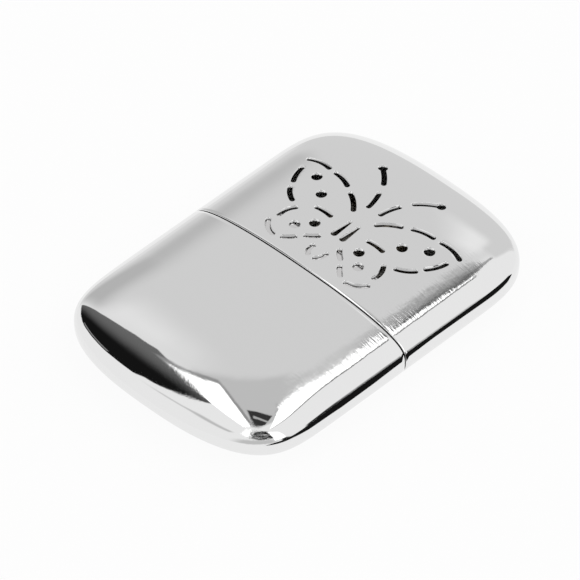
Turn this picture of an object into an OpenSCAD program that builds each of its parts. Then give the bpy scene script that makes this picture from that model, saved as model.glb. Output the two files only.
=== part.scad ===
// Catalytic hand warmer: a drawn steel tank with a collar, a pull-off burner on
// its filler neck, and a drawn cap pierced with a butterfly of air vents.
//
// The pieces are modelled standing up: X across the case, Y through its
// thickness with the pierced front at -Y, and Z along it from the seam.
// lay_down() then puts the case on its back, front up and cap towards +Y, with
// the origin under the middle of the whole case.

/* [Case] */
// Width of the case
case_w = 66.5; // [54:0.5:82]
// Thickness of the case over its two crowns
case_d = 16.4; // [13.6:0.2:20]
// Length of the tank below the seam
tank_len = 49.2; // [40:0.2:62]
// Length from the seam to the cap's end
cap_len = 48.8; // [40:0.2:62]
// Gap between the tank's edge and the closed cap
seam_gap = 0.35; // [0.2:0.05:0.6]
// Sheet thickness of the cap
cap_wall = 0.45; // [0.35:0.05:0.7]
// How far the back crown is pressed flat, so that the case rests on it
land_depth = 0.15; // [0.05:0.05:0.25]

/* [Collar and neck] */
// Clearance between the collar and the cap that slides over it
cap_fit = 0.15; // [0.1:0.01:0.3]
// Sheet thickness of the collar
collar_wall = 0.5; // [0.4:0.05:0.8]
// Height of the collar above the seam
collar_rise = 9.5; // [7:0.5:12]
// How far the collar reaches down into the tank
collar_depth = 12; // [8:0.5:15]
// Thickness of the shoulder plate on top of the collar
shoulder_t = 0.6; // [0.4:0.05:1]
// Length of the flat oval neck across the case
neck_len = 24; // [20:0.5:28.5]
// Height of the neck above the shoulder plate
neck_rise = 8.2; // [7.6:0.1:10]
// Sheet thickness of the neck
neck_wall = 0.5; // [0.35:0.05:0.6]
// How far the neck's foot reaches below the shoulder plate
neck_foot = 0.6; // [0.4:0.1:1.5]
// Depth of the wick retainer below the neck's rim
retainer_drop = 5.9; // [5.2:0.1:6.6]
// Thickness of the wick retainer
retainer_t = 0.4; // [0.3:0.05:0.6]
// Diameter of each hole in the wick retainer
retainer_hole_d = 2.4; // [1.6:0.1:2.8]
// Height of the felt wick
wick_h = 9.2; // [7:0.1:12]
// Slack around the felt and the cotton
soft_slack = 0.3; // [0.1:0.05:0.5]

/* [Burner] */
// Sheet thickness of the burner's skirt, deck, frame and ends
sheet_t = 0.5; // [0.35:0.05:0.6]
// Room from the case's crown to the burner's frame, front and rear
burner_room = 2.9; // [2.7:0.05:3.4]
// Clearance between the burner's skirt and the neck
burner_fit = 0.12; // [0.08:0.01:0.2]
// Gap between the neck's rim and the deck that stops on it
seat_gap = 0.2; // [0.1:0.05:0.4]
// How far the skirt reaches down from the deck
skirt_drop = 7; // [5:0.1:7.5]
// Length of the frame across the case
frame_len = 24; // [22:0.5:26]
// Clear height from the deck to the bridge, where the catalyst lies
catalyst_h = 8; // [7:0.1:9.5]
// Windows in each face of the frame
window_count = 3; // [2:1:4]
// Width of each bar between and beside the windows
window_bar = 1.2; // [0.8:0.1:1.6]
// Height of the windows
window_h = 5.8; // [4.5:0.1:6.2]
// Length across the case of the tab that each face of the frame hangs on
tab_len = 13; // [11:0.5:14]
// Length of the tab down over the skirt
tab_drop = 4.5; // [4:0.1:4.8]
// Diameter of the rivets' shanks
rivet_d = 1; // [0.8:0.1:1.4]
// Diameter of the rivets' heads
rivet_head_d = 1.9; // [1.6:0.1:2.4]
// Height of the rivets' heads
rivet_head_h = 0.35; // [0.2:0.05:0.4]
// Vent holes along the bridge
bridge_hole_count = 5; // [3:1:6]
// Diameter of the bridge's vent holes
bridge_hole_d = 2.2; // [1.6:0.1:2.8]
// Slots through the deck for the fuel's vapour
deck_slot_count = 3; // [2:1:4]
// Width of the deck's slots
deck_slot_w = 3; // [2:0.1:4]
// Thickness of the catalyst mat on each side of its core
mat_t = 2.1; // [1.6:0.1:2.4]
// Sheet thickness of the pierced core
core_t = 0.3; // [0.2:0.05:0.5]
// Diameter of the core's holes
core_hole_d = 1.2; // [0.8:0.1:1.4]
// Distance between the core's holes
core_hole_pitch = 2.4; // [2:0.1:3]
// Thickness of the gauze in the windows
gauze_t = 0.25; // [0.15:0.05:0.4]
// Distance between the gauze's wires
gauze_pitch = 1.3; // [1.1:0.1:1.6]
// Width of the gauze's wires
gauze_wire = 0.4; // [0.3:0.05:0.5]

/* [Vents] */
// Span of the butterfly from wing tip to wing tip
wing_span = 47.4; // [38:0.2:50]
// Height of the butterfly's waist above the seam
butterfly_rise = 15.5; // [14:0.1:18]
// Width of the slots
slot_w = 1.2; // [0.8:0.1:1.5]
// Diameter of the round holes in the wings
spot_d = 2.7; // [2:0.1:3.2]
// Diameter of the knobs at the feelers' tips
knob_d = 2.2; // [1.6:0.1:2.6]

/* [Motion] */
// How far the cap is drawn along to come off
cap_travel = 45; // [30:1:60]
// How far the burner is lifted along the neck
burner_travel = 12; // [8:0.5:12]

/* [Hidden] */

chrome = [0.80, 0.80, 0.81];
steel = [0.66, 0.66, 0.68];
mesh_grey = [0.45, 0.45, 0.46];
mat_grey = [0.55, 0.54, 0.52];
felt_white = [0.88, 0.86, 0.80];
cotton_white = [0.94, 0.93, 0.90];

// The section is |x / a|^SIDE_POWER + |y / d|^FACE_POWER = 1
SIDE_POWER = 2.3;
FACE_POWER = 3;
// Each end rolls in from a share of its length, by (1 - s^rise)^(1 / fall)
TANK_WIDTH_ROLL = [0.46, 4.2, 2.25];
TANK_DEPTH_ROLL = [0.4, 1.8, 2.1];
CAP_WIDTH_ROLL = [0.42, 4.4, 2.4];
CAP_DEPTH_ROLL = [0.55, 2, 2.1];
CASE_SIDES = 64;
CASE_RINGS = 18;
SOFT_SIDES = 32;
SOFT_RINGS = 9;
CURVE_FN = 48;
VENT_FN = 16;
BOW_STEPS = 4;
CUT_OVER = 1;

tank_wall = cap_wall + cap_fit;
collar_inset = tank_wall;
cotton_inset = tank_wall + collar_wall + soft_slack;

z_shoulder = collar_rise + shoulder_t;
z_neck_top = z_shoulder + neck_rise;
z_retainer = z_neck_top - retainer_drop - retainer_t;
z_wick = z_retainer - wick_h;
z_deck = z_neck_top + seat_gap;
z_skirt_top = z_deck + sheet_t;
z_skirt = z_deck - skirt_drop;
z_bridge = z_skirt_top + catalyst_h;
z_rivet = z_skirt_top - tab_drop / 2;

frame_half = case_d / 2 - burner_room;
frame_inside = frame_half - sheet_t;
skirt_inside = frame_inside - sheet_t;
neck_half = skirt_inside - burner_fit;
neck_flat = neck_len / 2 - neck_half;
fold_r = sheet_t * 2;

mat_half = frame_inside - gauze_t;
mat_len = frame_len - 2 * sheet_t - 2;
core_half = mat_half - mat_t;
core_len = mat_len - 2;
core_h = catalyst_h - mat_t - 0.9;
window_w = (mat_len - window_bar * (window_count + 1)) / window_count;
rivet_x = tab_len / 2 - rivet_head_d / 2 - 1;

// The butterfly's right half, measured from its waist at a span of DRAWN_SPAN
DRAWN_SPAN = 47.4;
// Each wing slot has two ends, and a bow to the left of the way between them
WING_SLOTS = [
    [[3.4, 5.9], [8.1, 9.6], 0.3],
    [[10.1, 10.8], [15.4, 12.4], 0.3],
    [[17.4, 12.6], [23.7, 12.1], 0.5],
    [[22.6, 9.1], [20.6, 4], 0.3],
    [[19.8, 2.1], [16, -0.9], 0.3],
    [[13.6, -2], [14.9, -6.6], 0.5],
    [[15.7, -9.1], [11.2, -12.1], 0.6],
    [[9.2, -11.5], [6.8, -9.2], 0.1],
    [[5.6, -7.6], [3.1, -5.5], 0.1],
    [[5.8, 1], [10.4, 1], 0.2]
];
WING_SPOTS = [[17.6, 8.6], [12.6, 4.9], [9.9, -6.5], [6.9, -3.1]];
FEELER_SLOTS = [
    [[1.8, 9], [3.3, 14.1], 0.2],
    [[4.6, 16.9], [9, 21.2], 0.2]
];
FEELER_KNOB = [9.1, 21.3];
TAIL_SLOT = [[2.1, -8.4], [1, -11.5], 0.4];
BODY_HEAD = [1.3, 2.7];
BODY_TAIL = [1.35, -2.5];
BODY_HEAD_R = 0.35;
BODY_TAIL_R = 0.75;

function signed_pow(v, power) = sign(v) * pow(abs(v), power);

function rolled(share, roll) =
    let (s = max(0, (share - roll[0]) / (1 - roll[0])))
    pow(max(0, 1 - pow(s, roll[1])), 1 / roll[2]);

// One section of the case, drawn in by inset, and by the shares that its ends roll in
function section(inset, sides, width_share = 1, depth_share = 1) = [
    for (i = [0:sides - 1])
        let (turn = 360 * i / sides)
        [(case_w / 2 - inset) * width_share * signed_pow(cos(turn), 2 / SIDE_POWER),
         min((case_d / 2 - inset) * depth_share * signed_pow(sin(turn), 2 / FACE_POWER),
             case_d / 2 - land_depth - inset)]
];

// Shares of the length at which the rings lie: one at the rim, the rest on the rolled end
function ring_shares(rim, start, rings) = [
    rim,
    for (k = [0:rings - 2]) start + (1 - start) * sin(90 * k / (rings - 1))
];

// The rings of one skin, and its end point
function skin(len, rolls, inset, rim, sides, rings) = concat(
    [for (share = ring_shares(rim / len, min(rolls[0][0], rolls[1][0]), rings))
        for (p = section(inset, sides, rolled(share, rolls[0]), rolled(share, rolls[1])))
            [p[0], p[1], share < rolls[0][0] && share == rim / len ? rim : share * (len - inset)]],
    [[0, 0, len - inset]]
);

// Faces of a skin whose points start at first, with its end point last
function skin_faces(first, sides, rings) = concat(
    [for (k = [0:rings - 2], i = [0:sides - 1])
        let (a = first + k * sides + i, b = first + k * sides + (i + 1) % sides)
        [a, a + sides, b + sides, b]],
    [for (i = [0:sides - 1])
        let (last = first + (rings - 1) * sides)
        [last + i, first + rings * sides, last + (i + 1) % sides]]
);

function reversed(face) = [for (k = [len(face) - 1:-1:0]) face[k]];

// Points along a slot that bows to the left of the way from its first end to its second
function bowed(slot, steps) =
    let (way = slot[1] - slot[0], left = [-way[1], way[0]] / norm(way))
    [for (k = [0:steps])
        let (f = k / steps)
        slot[0] + way * f + left * slot[2] * 4 * f * (1 - f)];

// A hollow end of the case, with its rim down and its closed end towards +Z
module hollow_end(len, rolls, wall, rim) {
    count = CASE_SIDES * CASE_RINGS + 1;
    outer = skin(len, rolls, 0, rim, CASE_SIDES, CASE_RINGS);
    inner = skin(len, rolls, wall, rim, CASE_SIDES, CASE_RINGS);
    outer_faces = skin_faces(0, CASE_SIDES, CASE_RINGS);
    inner_faces = [for (face = skin_faces(count, CASE_SIDES, CASE_RINGS)) reversed(face)];
    rim_faces = [for (i = [0:CASE_SIDES - 1])
        let (j = (i + 1) % CASE_SIDES)
        [i, j, count + j, count + i]];
    polyhedron(concat(outer, inner), concat(outer_faces, inner_faces, rim_faces), 4);
}

// A solid of the case's form, with a flat face at its rim
module filled_end(len, rolls, inset, rim) {
    foot = [[for (i = [0:SOFT_SIDES - 1]) i]];
    sides = skin_faces(0, SOFT_SIDES, SOFT_RINGS);
    polyhedron(skin(len, rolls, inset, rim, SOFT_SIDES, SOFT_RINGS), concat(sides, foot), 4);
}

// A flat oval, half_len from its middle to each end and half_depth to each side
module oval(half_len, half_depth) {
    flat = half_len - half_depth;
    square([2 * flat, 2 * half_depth], center = true);
    for (side = [-1, 1])
        translate([side * flat, 0])
            circle(half_depth, $fn = CURVE_FN);
}

module oval_plate(half_len, half_depth, z, height) {
    translate([0, 0, z])
        linear_extrude(height)
            oval(half_len, half_depth);
}

module oval_tube(half_len, half_depth, wall, z, height) {
    translate([0, 0, z])
        linear_extrude(height)
            difference() {
                oval(half_len, half_depth);
                oval(half_len - wall, half_depth - wall);
            }
}

// What is drawn in X and Z, stretched along Y from y to y + depth
module across(y, depth) {
    translate([0, y + depth, 0])
        rotate([90, 0, 0])
            linear_extrude(depth)
                children();
}

// What is drawn in Y and Z, stretched along X about the middle
module along(len) {
    rotate([90, 0, 90])
        linear_extrude(len, center = true)
            children();
}

// A shank along Y at each rivet, over its length from the frame's outer face inwards
module each_rivet() {
    for (face = [-1, 1], side = [-1, 1])
        translate([side * rivet_x, face * frame_half, z_rivet])
            rotate([face * 90, 0, 0])
                children();
}

module rivet_holes() {
    each_rivet()
        translate([0, 0, -CUT_OVER])
            cylinder(h = 2 * sheet_t + 2 * CUT_OVER, d = rivet_d, $fn = CURVE_FN);
}

module slot(ends, width) {
    points = bowed(ends, BOW_STEPS);
    for (k = [0:BOW_STEPS - 1])
        hull() {
            translate(points[k])
                circle(d = width, $fn = VENT_FN);
            translate(points[k + 1])
                circle(d = width, $fn = VENT_FN);
        }
}

module butterfly_half() {
    for (ends = concat(WING_SLOTS, FEELER_SLOTS, [TAIL_SLOT]))
        slot(ends, slot_w);
    for (spot = WING_SPOTS)
        translate(spot)
            circle(d = spot_d, $fn = 2 * VENT_FN);
    translate(FEELER_KNOB)
        circle(d = knob_d, $fn = 2 * VENT_FN);
    hull() {
        translate(BODY_HEAD)
            circle(BODY_HEAD_R, $fn = VENT_FN);
        translate(BODY_TAIL)
            circle(BODY_TAIL_R, $fn = VENT_FN);
    }
}

module butterfly() {
    translate([0, butterfly_rise])
        scale(wing_span / DRAWN_SPAN) {
            butterfly_half();
            mirror([1, 0])
                butterfly_half();
        }
}

module lay_down() {
    translate([0, (tank_len - cap_len) / 2, case_d / 2 - land_depth])
        rotate([-90, 0, 0])
            children();
}

module tank_shell() {
    color(chrome)
        lay_down()
            mirror([0, 0, 1])
                hollow_end(tank_len, [TANK_WIDTH_ROLL, TANK_DEPTH_ROLL], tank_wall, 0);
}

module cap_collar() {
    color(chrome)
        lay_down()
            translate([0, 0, -collar_depth])
                linear_extrude(collar_depth + collar_rise)
                    difference() {
                        polygon(section(collar_inset, CASE_SIDES));
                        polygon(section(collar_inset + collar_wall, CASE_SIDES));
                    }
}

module tank_shoulder() {
    color(chrome)
        lay_down()
            translate([0, 0, collar_rise])
                linear_extrude(shoulder_t)
                    difference() {
                        polygon(section(collar_inset, CASE_SIDES));
                        oval(neck_len / 2, neck_half);
                    }
}

module filler_neck() {
    foot = collar_rise - neck_foot;
    color(steel)
        lay_down()
            oval_tube(neck_len / 2, neck_half, neck_wall, foot, z_neck_top - foot);
}

module wick_retainer() {
    pitch = (neck_len - 2 * neck_wall - retainer_hole_d) / 5;
    color(steel)
        lay_down()
            difference() {
                oval_plate(neck_len / 2 - neck_wall, neck_half - neck_wall, z_retainer, retainer_t);
                for (k = [-2:2])
                    translate([k * pitch, 0, z_retainer - CUT_OVER])
                        cylinder(h = retainer_t + 2 * CUT_OVER, d = retainer_hole_d, $fn = CURVE_FN);
            }
}

module wick_felt() {
    inset = neck_wall + soft_slack;
    color(felt_white)
        lay_down()
            oval_plate(neck_len / 2 - inset, neck_half - inset, z_wick, wick_h);
}

module cotton_wadding() {
    color(cotton_white)
        lay_down()
            mirror([0, 0, 1])
                filled_end(tank_len, [TANK_WIDTH_ROLL, TANK_DEPTH_ROLL], cotton_inset, -z_wick);
}

module burner_skirt() {
    half_len = neck_len / 2 + burner_fit + sheet_t;
    color(steel)
        lay_down()
            difference() {
                oval_tube(half_len, skirt_inside + sheet_t, sheet_t, z_skirt, z_skirt_top - z_skirt);
                rivet_holes();
            }
}

module burner_deck() {
    pitch = core_len / deck_slot_count;
    color(steel)
        lay_down()
            difference() {
                oval_plate(neck_len / 2 + burner_fit, skirt_inside, z_deck, sheet_t);
                for (k = [0:deck_slot_count - 1])
                    translate([(k - (deck_slot_count - 1) / 2) * pitch, 0, z_deck - CUT_OVER])
                        linear_extrude(sheet_t + 2 * CUT_OVER)
                            oval(pitch / 2 - window_bar / 2, deck_slot_w / 2);
            }
}

// The strip's profile in Y and Z: a tall arch with folded top corners
module arch(half_depth, top, bottom, corner) {
    translate([-half_depth, bottom])
        square([2 * half_depth, top - corner - bottom]);
    translate([-half_depth + corner, bottom])
        square([2 * (half_depth - corner), top - bottom]);
    for (side = [-1, 1])
        translate([side * (half_depth - corner), top - corner])
            circle(corner, $fn = CURVE_FN);
}

module burner_frame() {
    tab_z = z_skirt_top - tab_drop;
    window_pitch = window_w + window_bar;
    hole_pitch = mat_len / bridge_hole_count;
    color(steel)
        lay_down()
            difference() {
                along(frame_len)
                    difference() {
                        arch(frame_half, z_bridge + sheet_t, tab_z, fold_r);
                        arch(frame_inside, z_bridge, tab_z - CUT_OVER, fold_r - sheet_t);
                    }
                for (side = [-1, 1])
                    translate([side * (tab_len / 2 + frame_len / 2), 0, z_skirt_top - tab_drop / 2])
                        cube([frame_len, 2 * frame_half + CUT_OVER, tab_drop], center = true);
                across(-frame_half - CUT_OVER, 2 * frame_half + 2 * CUT_OVER)
                    for (k = [0:window_count - 1])
                        translate([(k - (window_count - 1) / 2) * window_pitch,
                                   z_skirt_top + catalyst_h / 2])
                            square([window_w, window_h], center = true);
                for (k = [0:bridge_hole_count - 1])
                    translate([(k - (bridge_hole_count - 1) / 2) * hole_pitch, 0, z_bridge - CUT_OVER])
                        cylinder(h = sheet_t + 2 * CUT_OVER, d = bridge_hole_d, $fn = CURVE_FN);
                rivet_holes();
            }
}

module burner_end(side) {
    color(steel)
        lay_down()
            translate([side * (frame_len / 2 - sheet_t / 2), 0, z_skirt_top])
                linear_extrude(catalyst_h - fold_r)
                    square([sheet_t, 2 * frame_inside], center = true);
}

module burner_end_left() {
    burner_end(-1);
}

module burner_end_right() {
    burner_end(1);
}

module burner_rivets() {
    color(chrome)
        lay_down()
            each_rivet() {
                translate([0, 0, -rivet_head_h])
                    cylinder(h = rivet_head_h, d = rivet_head_d, $fn = CURVE_FN);
                cylinder(h = 2 * sheet_t, d = rivet_d, $fn = CURVE_FN);
            }
}

module catalyst_core() {
    columns = floor((core_len - core_hole_d) / core_hole_pitch);
    rows = floor((core_h - core_t - core_hole_d) / core_hole_pitch);
    color(mesh_grey)
        lay_down()
            difference() {
                translate([0, 0, z_skirt_top + core_h / 2])
                    cube([core_len, 2 * core_half, core_h], center = true);
                translate([0, 0, z_skirt_top + core_h / 2 - core_t])
                    cube([core_len + CUT_OVER, 2 * (core_half - core_t), core_h], center = true);
                for (c = [0:columns], r = [0:rows])
                    translate([(c - columns / 2) * core_hole_pitch, 0,
                               z_skirt_top + core_hole_d + r * core_hole_pitch])
                        rotate([90, 0, 0])
                            cylinder(h = 2 * core_half + CUT_OVER, d = core_hole_d,
                                     center = true, $fn = CURVE_FN);
            }
}

module catalyst_mat() {
    color(mat_grey)
        lay_down()
            difference() {
                along(mat_len)
                    arch(mat_half, z_skirt_top + core_h + mat_t, z_skirt_top, mat_t / 2);
                translate([0, 0, z_skirt_top + core_h / 2])
                    cube([mat_len + CUT_OVER, 2 * core_half, core_h], center = true);
            }
}

module gauze(face) {
    hole = gauze_pitch - gauze_wire;
    height = window_h + gauze_wire * 2;
    columns = floor((mat_len - gauze_pitch) / gauze_pitch);
    rows = floor((height - gauze_pitch) / gauze_pitch);
    color(mesh_grey)
        lay_down()
            translate([0, 0, z_skirt_top + catalyst_h / 2])
                across(face * (frame_inside - gauze_t / 2) - gauze_t / 2, gauze_t)
                    difference() {
                        square([mat_len, height], center = true);
                        for (c = [0:columns], r = [0:rows])
                            translate([(c - columns / 2) * gauze_pitch, (r - rows / 2) * gauze_pitch])
                                square(hole, center = true);
                    }
}

module gauze_front() {
    gauze(-1);
}

module gauze_rear() {
    gauze(1);
}

module cap_shell() {
    color(chrome)
        lay_down()
            difference() {
                hollow_end(cap_len, [CAP_WIDTH_ROLL, CAP_DEPTH_ROLL], cap_wall, seam_gap);
                across(-case_d / 2 - CUT_OVER, case_d / 2 + CUT_OVER)
                    butterfly();
            }
}

tank_shell();
cap_collar();
tank_shoulder();
filler_neck();
wick_retainer();
wick_felt();
cotton_wadding();
burner_skirt();
burner_deck();
burner_frame();
burner_end_left();
burner_end_right();
burner_rivets();
catalyst_core();
catalyst_mat();
gauze_front();
gauze_rear();
cap_shell();
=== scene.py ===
# A catalytic hand warmer lying on its back, shut: a bright plated tank below
# the seam, and a cap pierced with a butterfly of air vents above it. Under the
# cap are the collar, the filler neck and a burner of thin stainless strip.
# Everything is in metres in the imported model's frame.

import math
import bmesh
import bpy
from mathutils import Matrix, Vector


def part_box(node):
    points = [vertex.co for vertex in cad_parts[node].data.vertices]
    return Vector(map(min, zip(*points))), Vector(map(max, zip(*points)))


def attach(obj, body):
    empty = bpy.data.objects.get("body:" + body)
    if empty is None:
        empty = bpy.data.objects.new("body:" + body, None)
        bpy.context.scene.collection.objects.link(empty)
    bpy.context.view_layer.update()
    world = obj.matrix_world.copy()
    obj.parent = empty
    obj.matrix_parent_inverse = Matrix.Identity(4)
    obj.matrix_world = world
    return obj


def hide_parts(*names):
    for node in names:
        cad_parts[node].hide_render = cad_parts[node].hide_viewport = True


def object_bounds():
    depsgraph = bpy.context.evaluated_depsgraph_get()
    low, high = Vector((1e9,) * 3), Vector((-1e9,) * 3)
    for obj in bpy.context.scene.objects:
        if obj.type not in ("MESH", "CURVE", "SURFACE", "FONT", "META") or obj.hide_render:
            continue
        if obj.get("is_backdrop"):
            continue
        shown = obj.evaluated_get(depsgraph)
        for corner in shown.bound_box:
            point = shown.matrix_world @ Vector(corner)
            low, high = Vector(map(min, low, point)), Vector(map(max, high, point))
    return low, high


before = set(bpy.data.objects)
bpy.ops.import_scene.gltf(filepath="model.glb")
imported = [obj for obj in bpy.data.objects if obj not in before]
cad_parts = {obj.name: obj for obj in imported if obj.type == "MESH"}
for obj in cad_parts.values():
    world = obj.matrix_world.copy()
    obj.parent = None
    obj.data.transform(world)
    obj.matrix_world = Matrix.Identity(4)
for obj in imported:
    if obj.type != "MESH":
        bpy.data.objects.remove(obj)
cad_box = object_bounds()
MM = 0.001


# ---- Tank ------------------------------------------------------------------
# The tank is drawn from one sheet of steel into a deep oval cup, then buffed
# and plated with bright nickel and chrome. Its open end is the seam, and the
# collar is pressed and soldered into it.

low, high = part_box("tank_shell")
CASE_HALF_WIDTH = high.x
CASE_HALF_DEPTH = 8.2 * MM
MID_HEIGHT = 8.05 * MM
SEAM_Y = 0.2 * MM
TANK_LENGTH = SEAM_Y - low.y
TANK_WALL = 0.6 * MM
RIM_EDGE = 0.12 * MM
BACK_FLAT = 0.15 * MM
SIDE_POWER = 2.3
FACE_POWER = 3.0
# where along the half a roll starts, and the powers of its rise and its fall
TANK_WIDTH_ROLL = (0.46, 4.2, 2.25)
TANK_DEPTH_ROLL = (0.4, 1.8, 2.1)


def add(tree, kind, *feeds, **settings):
    """Adds a node with its settings.

    A feed is an input's value or where it comes from, and a dict of feeds, last, names its inputs.
    """
    made = tree.nodes.new(kind)
    for name, value in settings.items():
        setattr(made, name, value)
    named = feeds[-1] if feeds and isinstance(feeds[-1], dict) else {}
    plain = feeds[:-1] if named else feeds
    for key, feed in [*enumerate(plain), *named.items()]:
        if isinstance(feed, bpy.types.Node):
            feed = feed.outputs[0]
        if isinstance(feed, bpy.types.NodeSocket):
            tree.links.new(feed, made.inputs[key])
        elif feed is not None:
            made.inputs[key].default_value = feed
    return made


def calc(tree, operation, *feeds, **settings):
    """Adds an operation on numbers."""
    return add(tree, "ShaderNodeMath", *feeds, operation=operation, **settings)


def geo(tree, kind, *feeds, **settings):
    """Adds a geometry node."""
    return add(tree, "GeometryNode" + kind, *feeds, **settings)


def xyz(tree, *feeds):
    """Adds a vector made of numbers."""
    return add(tree, "ShaderNodeCombineXYZ", *feeds)


def vector(tree, operation, *feeds, **settings):
    """Adds an operation on vectors."""
    return add(tree, "ShaderNodeVectorMath", *feeds, operation=operation, **settings)


def ramp(tree, *feeds, **settings):
    """Adds a change of range: what goes in, its two ends, and the two ends that come out."""
    return add(tree, "ShaderNodeMapRange", *feeds, **settings)


def noise(tree, spot, scale, detail, roughness=0.5, distortion=0.0):
    """Adds a noise. Three scales, one for each axis, stretch it."""
    if isinstance(scale, tuple):
        spot, scale = add(tree, "ShaderNodeMapping", spot, {"Scale": scale}), 1.0
    return add(tree, "ShaderNodeTexNoise", {
        "Vector": spot, "Scale": scale, "Detail": detail, "Roughness": roughness, "Distortion": distortion})


def linear(code):
    """An sRGB hex colour as the linear colour that a shader takes."""
    parts = [int(code[i : i + 2], 16) / 255 for i in (1, 3, 5)]
    return tuple(p / 12.92 if p <= 0.04045 else ((p + 0.055) / 1.055) ** 2.4 for p in parts) + (1.0,)


def mixed(tree, share, first, last):
    """Adds a mix of two colours, each a hex code or where it comes from."""
    first, last = [linear(c) if isinstance(c, str) else c for c in (first, last)]
    return add(tree, "ShaderNodeMix", {0: share, 6: first, 7: last}, data_type="RGBA").outputs[2]


def bumped(tree, height, strength, distance, normal=None):
    """Adds a bump of a height, over another one's normal."""
    return add(tree, "ShaderNodeBump", {
        "Strength": strength, "Distance": distance, "Height": height, "Normal": normal})


def place_in(tree):
    """Where a point lies on its object, in metres."""
    return add(tree, "ShaderNodeTexCoord").outputs["Object"]


def material(name):
    """A new material and its empty tree."""
    made = bpy.data.materials.new(name)
    made.use_nodes = True
    made.node_tree.nodes.clear()
    return made, made.node_tree


def principled(tree, tone, rough, normal=None, metallic=1.0, sheen=0.0):
    """Ends a material's tree in a surface, which is of metal unless it says otherwise."""
    add(tree, "ShaderNodeOutputMaterial", add(tree, "ShaderNodeBsdfPrincipled", {
        "Base Color": tone, "Roughness": rough, "Normal": normal, "Metallic": metallic,
        "Sheen Weight": sheen}))


def plan(name, gives, **takes):
    """A geometry tree, its inputs and its output: gives and takes are the kinds of their sockets."""
    tree = bpy.data.node_groups.new(name, "GeometryNodeTree")
    tree.interface.new_socket("Result", in_out="OUTPUT", socket_type="NodeSocket" + gives)
    for label, kind in takes.items():
        tree.interface.new_socket(label, in_out="INPUT", socket_type="NodeSocket" + kind)
    return tree, tree.nodes.new("NodeGroupInput").outputs, tree.nodes.new("NodeGroupOutput").inputs


def finished(tree, given, result, shape):
    """Ends a geometry tree: a shape takes its finish, and its lining the inside's, if there is one."""
    shape = geo(tree, "SetMaterial", shape, {"Material": given["Finish"]})
    if "Inside" in given:
        lining = geo(tree, "InputNamedAttribute", "lining", data_type="BOOLEAN")
        shape = geo(tree, "SetMaterial", shape, {"Selection": lining, "Material": given["Inside"]})
    tree.links.new(shape.outputs[0], result[0])


def put(name, data):
    """Puts a mesh or a camera in the scene as an object."""
    piece = bpy.data.objects.new(name, data)
    bpy.context.scene.collection.objects.link(piece)
    return piece


def made_by(tree, name, start=None, **sizes):
    """Runs a geometry tree with these sizes, and returns what it makes as a plain mesh object."""
    rough = put(name + "_rough", start or bpy.data.meshes.new(name))
    modifier = rough.modifiers.new("plan", "NODES")
    modifier.node_group = tree
    for item in tree.interface.items_tree:
        if item.in_out == "INPUT" and item.name in sizes:
            modifier[item.identifier] = sizes[item.name]
    seen = bpy.context.evaluated_depsgraph_get()
    mesh = bpy.data.meshes.new_from_object(rough.evaluated_get(seen), depsgraph=seen)
    bpy.data.objects.remove(rough)
    mesh.name = name
    # the nodes leave an empty first material slot, which goes
    numbers = [p.material_index for p in mesh.polygons]
    used = sorted(set(numbers))
    finishes = [mesh.materials[k] for k in used]
    mesh.materials.clear()
    for finish in finishes:
        mesh.materials.append(finish)
    mesh.polygons.foreach_set("material_index", [used.index(k) for k in numbers])
    return put(name, mesh)


# How much of the full width or thickness is left at a share of the length.
rolled, given, result = plan(
    "rolled_share", "Float", Share="Float", Start="Float", Rise="Float", Fall="Float")
past = ramp(rolled, given["Share"], given["Start"], 1.0, 0.0, 1.0)
risen = calc(rolled, "POWER", past, given["Rise"])
kept = calc(rolled, "SUBTRACT", 1.0, risen, use_clamp=True)
root = calc(rolled, "DIVIDE", 1.0, given["Fall"])
left = calc(rolled, "POWER", kept, root)
rolled.links.new(left.outputs[0], result[0])

# One closed end of the case: a grid whose columns go round the section, and
# whose rows go from the inner skin's pole, out over the rim, to the outer pole.
shell, size, result = plan(
    "case_end", "Geometry", HalfWidth="Float", HalfDepth="Float", Length="Float", Wall="Float", Rim="Float",
    Edge="Float", Flat="Float", Toward="Float", Columns="Int", InnerRows="Int", EdgeRows="Int",
    OuterRows="Int", WidthStart="Float", WidthRise="Float", WidthFall="Float", DepthStart="Float",
    DepthRise="Float", DepthFall="Float", Finish="Material", Inside="Material")
turned_rows = calc(shell, "ADD", size["InnerRows"], size["EdgeRows"])
rows = calc(shell, "ADD", turned_rows, size["OuterRows"])
across = calc(shell, "ADD", size["Columns"], 1.0)
down = calc(shell, "ADD", rows, 1.0)
grid = geo(shell, "MeshGrid", 1.0, 1.0, across, down)
place = add(shell, "ShaderNodeSeparateXYZ", geo(shell, "InputPosition"))
angle = ramp(shell, place.outputs["X"], -0.5, 0.5, 0.0, 2 * math.pi)
row = ramp(shell, place.outputs["Y"], -0.5, 0.5, 0.0, rows)
inner = ramp(shell, row, 0.0, size["InnerRows"], 1.0, 0.0)
edge = ramp(shell, row, size["InnerRows"], turned_rows, 0.0, math.pi)
outer = ramp(shell, row, turned_rows, rows, 0.0, 1.0)
# the wall is crossed on a half turn at the rim, which rounds its edge
crossed = calc(shell, "MULTIPLY_ADD", calc(shell, "COSINE", edge), 0.5, 0.5)
inset = calc(shell, "MULTIPLY", crossed, size["Wall"])
dip = calc(shell, "SUBTRACT", 1.0, calc(shell, "SINE", edge))
rim = calc(shell, "MULTIPLY_ADD", dip, size["Edge"], size["Rim"])
way = calc(shell, "MULTIPLY", calc(shell, "ADD", inner, outer), math.pi / 2)
full = calc(shell, "SUBTRACT", size["Length"], inset)
along = calc(shell, "MULTIPLY_ADD", calc(shell, "SINE", way), calc(shell, "SUBTRACT", full, rim), rim)
share = calc(shell, "DIVIDE", along, full)
wide = geo(
    shell, "Group", share, size["WidthStart"], size["WidthRise"], size["WidthFall"], node_tree=rolled)
deep = geo(
    shell, "Group", share, size["DepthStart"], size["DepthRise"], size["DepthFall"], node_tree=rolled)
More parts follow.
